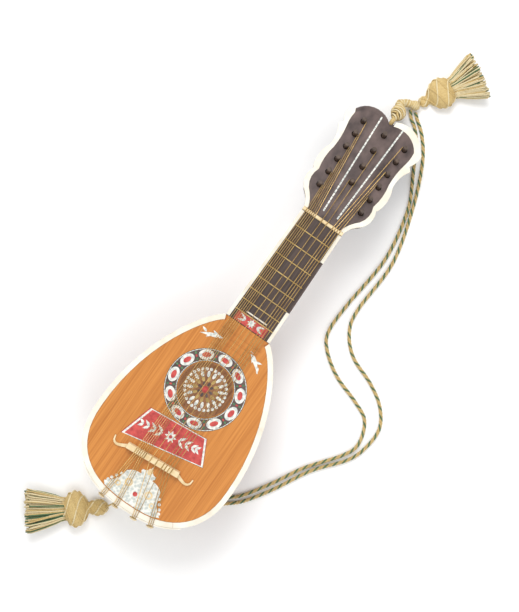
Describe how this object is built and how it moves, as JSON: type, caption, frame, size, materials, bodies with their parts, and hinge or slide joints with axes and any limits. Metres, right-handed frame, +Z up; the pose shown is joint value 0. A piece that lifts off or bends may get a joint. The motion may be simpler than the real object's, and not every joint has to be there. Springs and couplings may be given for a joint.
{
  "type": "mandola",
  "caption": "Bowl-backed mandola lying on its back, with peg head, floating bridge, inlaid soundboard, and a doubled carrying cord with tassels.",
  "frame": {"origin": "on the surface it lies on, under the middle of the instrument's box, cord left out", "axes": "+Y from the tail to the head, +X to the right as seen from the front, +Z up out of the soundboard"},
  "size_m": [0.3382, 0.8411, 0.1028],
  "materials": {
    "spruce": "satin",
    "ivory": "satin",
    "bone": "satin",
    "pearl": "satin",
    "mastic": "satin",
    "ebony": "satin",
    "head_veneer": "satin",
    "walnut": "satin",
    "peg_wood": "satin",
    "string": "satin",
    "cord": "matte"
  },
  "bodies": {
    "instrument": {"soundboard": "spruce", "soundboard_brace": "spruce", "body_binding_left": "ivory", "body_binding_right": "ivory", "head_binding_left": "ivory", "head_binding_right": "ivory", "tail_cap": "ivory", "nut": "bone", "hitch_pin_1": "bone", "hitch_pin_2": "bone", "hitch_pin_3": "bone", "hitch_pin_4": "bone", "rosette_ring": "pearl", "rose": "pearl", "tail_plaque": "pearl", "scratch_plate": "mastic", "fingerboard": "ebony", "head": "head_veneer", "neck": "walnut", "neck_block": "walnut", "tail_block": "walnut", "ribs_left_outer": "walnut", "ribs_left": "walnut", "ribs_centre": "walnut", "ribs_right": "walnut", "ribs_right_outer": "walnut", "string_01": "string", "string_02": "string", "string_03": "string", "string_04": "string", "string_05": "string", "string_06": "string", "string_07": "string", "string_08": "string", "string_09": "string", "string_10": "string", "string_11": "string", "string_12": "string", "cord_inner": "cord", "cord_outer": "cord", "hanging_knot": "cord"},
    "peg_left_1_body": {"peg_left_1": "peg_wood"},
    "peg_left_2_body": {"peg_left_2": "peg_wood"},
    "peg_left_3_body": {"peg_left_3": "peg_wood"},
    "peg_left_4_body": {"peg_left_4": "peg_wood"},
    "peg_left_5_body": {"peg_left_5": "peg_wood"},
    "peg_left_6_body": {"peg_left_6": "peg_wood"},
    "peg_middle_1_body": {"peg_middle_1": "peg_wood"},
    "peg_middle_2_body": {"peg_middle_2": "peg_wood"},
    "peg_middle_3_body": {"peg_middle_3": "peg_wood"},
    "peg_middle_4_body": {"peg_middle_4": "peg_wood"},
    "peg_right_1_body": {"peg_right_1": "peg_wood"},
    "peg_right_2_body": {"peg_right_2": "peg_wood"},
    "peg_right_3_body": {"peg_right_3": "peg_wood"},
    "peg_right_4_body": {"peg_right_4": "peg_wood"},
    "peg_right_5_body": {"peg_right_5": "peg_wood"},
    "peg_right_6_body": {"peg_right_6": "peg_wood"},
    "bridge_body": {"bridge": "bone"},
    "tassel_top_body": {"tassel_top": "cord"},
    "tassel_tail_body": {"tassel_tail": "cord"}
  },
  "joints": [
    {"name": "peg_left_1_turn", "type": "hinge", "parent": "instrument", "child": "peg_left_1_body", "pos_m": [-0.03015, 0.27644, 0.05145], "axis": [0, 0.2924, 0.9563], "continuous": true},
    {"name": "peg_left_2_turn", "type": "hinge", "parent": "instrument", "child": "peg_left_2_body", "pos_m": [-0.03015, 0.25646, 0.05756], "axis": [0, 0.2924, 0.9563], "continuous": true},
    {"name": "peg_left_3_turn", "type": "hinge", "parent": "instrument", "child": "peg_left_3_body", "pos_m": [-0.03015, 0.23647, 0.06367], "axis": [0, 0.2924, 0.9563], "continuous": true},
    {"name": "peg_left_4_turn", "type": "hinge", "parent": "instrument", "child": "peg_left_4_body", "pos_m": [-0.03015, 0.21648, 0.06978], "axis": [0, 0.2924, 0.9563], "continuous": true},
    {"name": "peg_left_5_turn", "type": "hinge", "parent": "instrument", "child": "peg_left_5_body", "pos_m": [-0.03015, 0.1965, 0.07589], "axis": [0, 0.2924, 0.9563], "continuous": true},
    {"name": "peg_left_6_turn", "type": "hinge", "parent": "instrument", "child": "peg_left_6_body", "pos_m": [-0.03015, 0.17651, 0.082], "axis": [0, 0.2924, 0.9563], "continuous": true},
    {"name": "peg_middle_1_turn", "type": "hinge", "parent": "instrument", "child": "peg_middle_1_body", "pos_m": [0.0016, 0.27644, 0.05145], "axis": [0, 0.2924, 0.9563], "continuous": true},
    {"name": "peg_middle_2_turn", "type": "hinge", "parent": "instrument", "child": "peg_middle_2_body", "pos_m": [0.0016, 0.25158, 0.05905], "axis": [0, 0.2924, 0.9563], "continuous": true},
    {"name": "peg_middle_3_turn", "type": "hinge", "parent": "instrument", "child": "peg_middle_3_body", "pos_m": [0.0016, 0.22672, 0.06666], "axis": [0, 0.2924, 0.9563], "continuous": true},
    {"name": "peg_middle_4_turn", "type": "hinge", "parent": "instrument", "child": "peg_middle_4_body", "pos_m": [0.0016, 0.20185, 0.07426], "axis": [0, 0.2924, 0.9563], "continuous": true},
    {"name": "peg_right_1_turn", "type": "hinge", "parent": "instrument", "child": "peg_right_1_body", "pos_m": [0.03335, 0.27644, 0.05145], "axis": [0, 0.2924, 0.9563], "continuous": true},
    {"name": "peg_right_2_turn", "type": "hinge", "parent": "instrument", "child": "peg_right_2_body", "pos_m": [0.03335, 0.25646, 0.05756], "axis": [0, 0.2924, 0.9563], "continuous": true},
    {"name": "peg_right_3_turn", "type": "hinge", "parent": "instrument", "child": "peg_right_3_body", "pos_m": [0.03335, 0.23647, 0.06367], "axis": [0, 0.2924, 0.9563], "continuous": true},
    {"name": "peg_right_4_turn", "type": "hinge", "parent": "instrument", "child": "peg_right_4_body", "pos_m": [0.03335, 0.21648, 0.06978], "axis": [0, 0.2924, 0.9563], "continuous": true},
    {"name": "peg_right_5_turn", "type": "hinge", "parent": "instrument", "child": "peg_right_5_body", "pos_m": [0.03335, 0.1965, 0.07589], "axis": [0, 0.2924, 0.9563], "continuous": true},
    {"name": "peg_right_6_turn", "type": "hinge", "parent": "instrument", "child": "peg_right_6_body", "pos_m": [0.03335, 0.17651, 0.082], "axis": [0, 0.2924, 0.9563], "continuous": true},
    {"name": "bridge_slide", "type": "slide", "parent": "instrument", "child": "bridge_body", "axis": [0, 1, 0], "range_m": [-0.001, 0.003]},
    {"name": "tassel_top_swing", "type": "hinge", "parent": "instrument", "child": "tassel_top_body", "pos_m": [0.0125, 0.33705, 0.008], "axis": [0, 0, 1], "range_deg": [-25, 25]},
    {"name": "tassel_tail_swing", "type": "hinge", "parent": "instrument", "child": "tassel_tail_body", "pos_m": [-0.00992, -0.30021, 0.04], "axis": [0, 0, 1], "range_deg": [-20, 20]}
  ]
}
